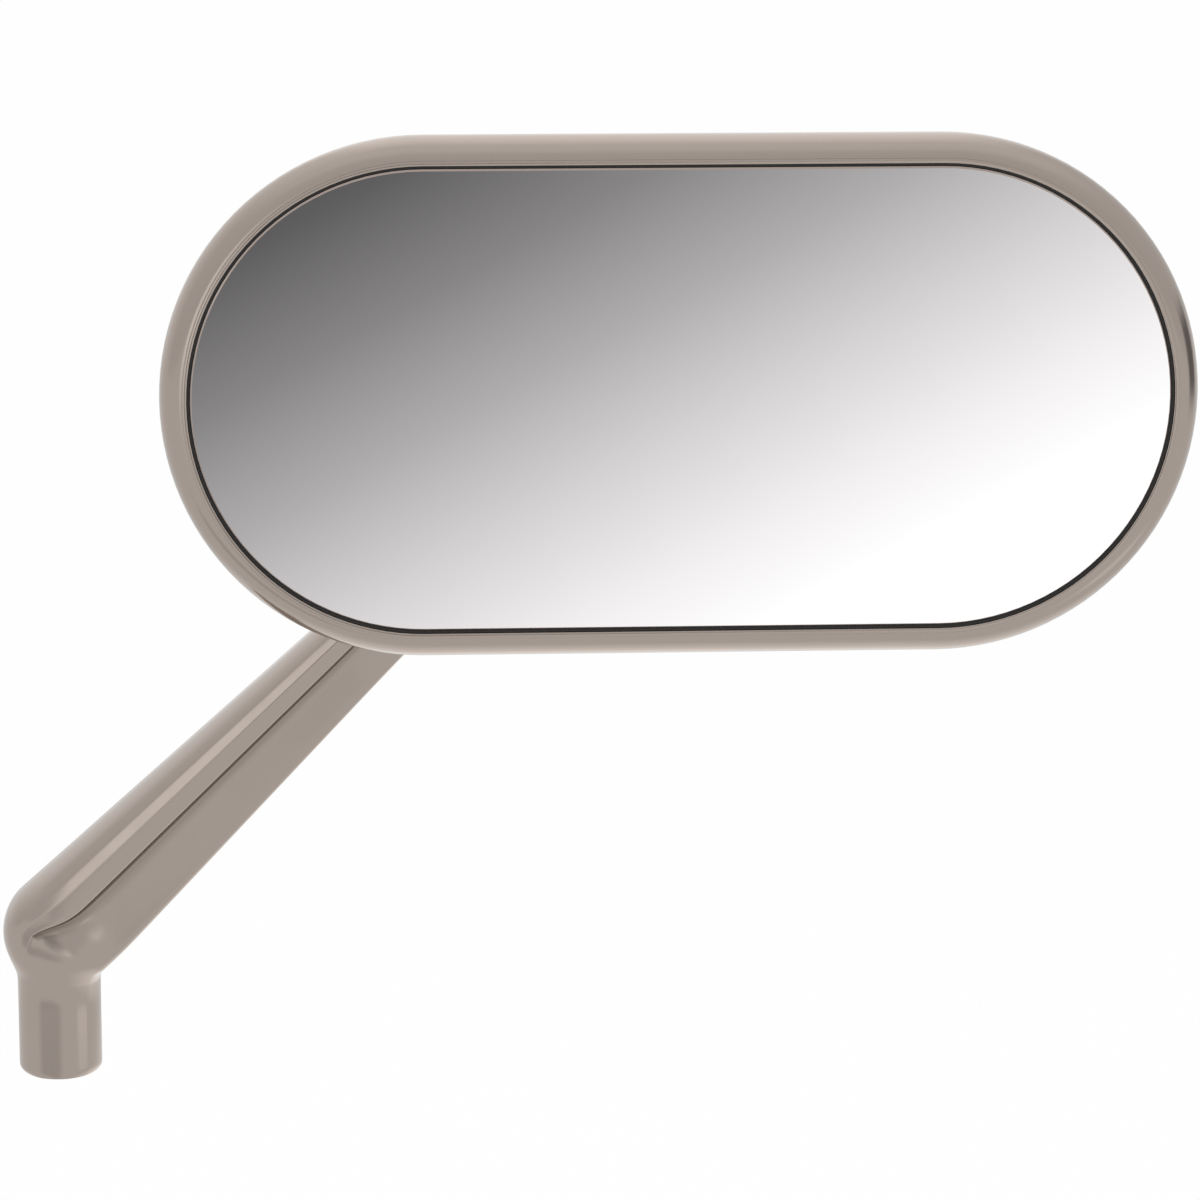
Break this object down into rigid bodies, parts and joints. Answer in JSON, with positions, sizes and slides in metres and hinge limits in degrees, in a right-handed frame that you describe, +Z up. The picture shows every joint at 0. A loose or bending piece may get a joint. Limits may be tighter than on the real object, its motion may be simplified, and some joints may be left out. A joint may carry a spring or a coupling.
{
  "type": "motorcycle mirror",
  "caption": "Left-hand motorcycle mirror: racetrack-shaped metal head with flat glass, on a ball joint, carried by a ridged one-piece arm with a threaded boss.",
  "frame": {"origin": "centre of the mouth of the threaded bore, on the boss's flat bottom face", "axes": "+Z up the boss's axis, +X outwards along the mirror head, -Y towards the rider, which the glass faces"},
  "size_m": [0.2053, 0.0504, 0.1696],
  "materials": {
    "satin_metal": "satin",
    "mirror_silver": "polished",
    "black_rubber": "matte",
    "zinc_steel": "satin",
    "spring_steel": "satin",
    "black_steel": "matte",
    "nylon": "matte",
    "black_plastic": "matte",
    "foam": "matte"
  },
  "bodies": {
    "arm": {"arm": "satin_metal", "ball_stud": "zinc_steel", "flat_washer": "zinc_steel", "spring_washer": "spring_steel", "cap_nut": "zinc_steel"},
    "liner_rear": {"liner_rear": "nylon"},
    "liner_front": {"liner_front": "nylon"},
    "head": {"pressure_cup": "zinc_steel", "thrust_shim": "zinc_steel", "disc_spring_inner": "spring_steel", "disc_spring_outer": "spring_steel", "pressure_plate": "zinc_steel", "plate_screws": "black_steel", "head_shell": "satin_metal", "carrier_plate": "black_plastic", "carrier_screws": "black_steel", "bonding_pad": "foam", "mirror_glass": "mirror_silver", "rim_seal": "black_rubber"}
  },
  "joints": [
    {"name": "head_roll", "type": "hinge", "parent": "arm", "child": "liner_rear", "pos_m": [0.1082, -0.0205, 0.1256], "axis": [0, 1, 0], "range_deg": [-10, 10]},
    {"name": "head_tilt", "type": "hinge", "parent": "liner_rear", "child": "liner_front", "pos_m": [0.1082, -0.0205, 0.1256], "axis": [1, 0, 0], "range_deg": [-10, 10]},
    {"name": "head_turn", "type": "hinge", "parent": "liner_front", "child": "head", "pos_m": [0.1082, -0.0205, 0.1256], "axis": [0, 0, 1], "range_deg": [-10, 10]}
  ]
}
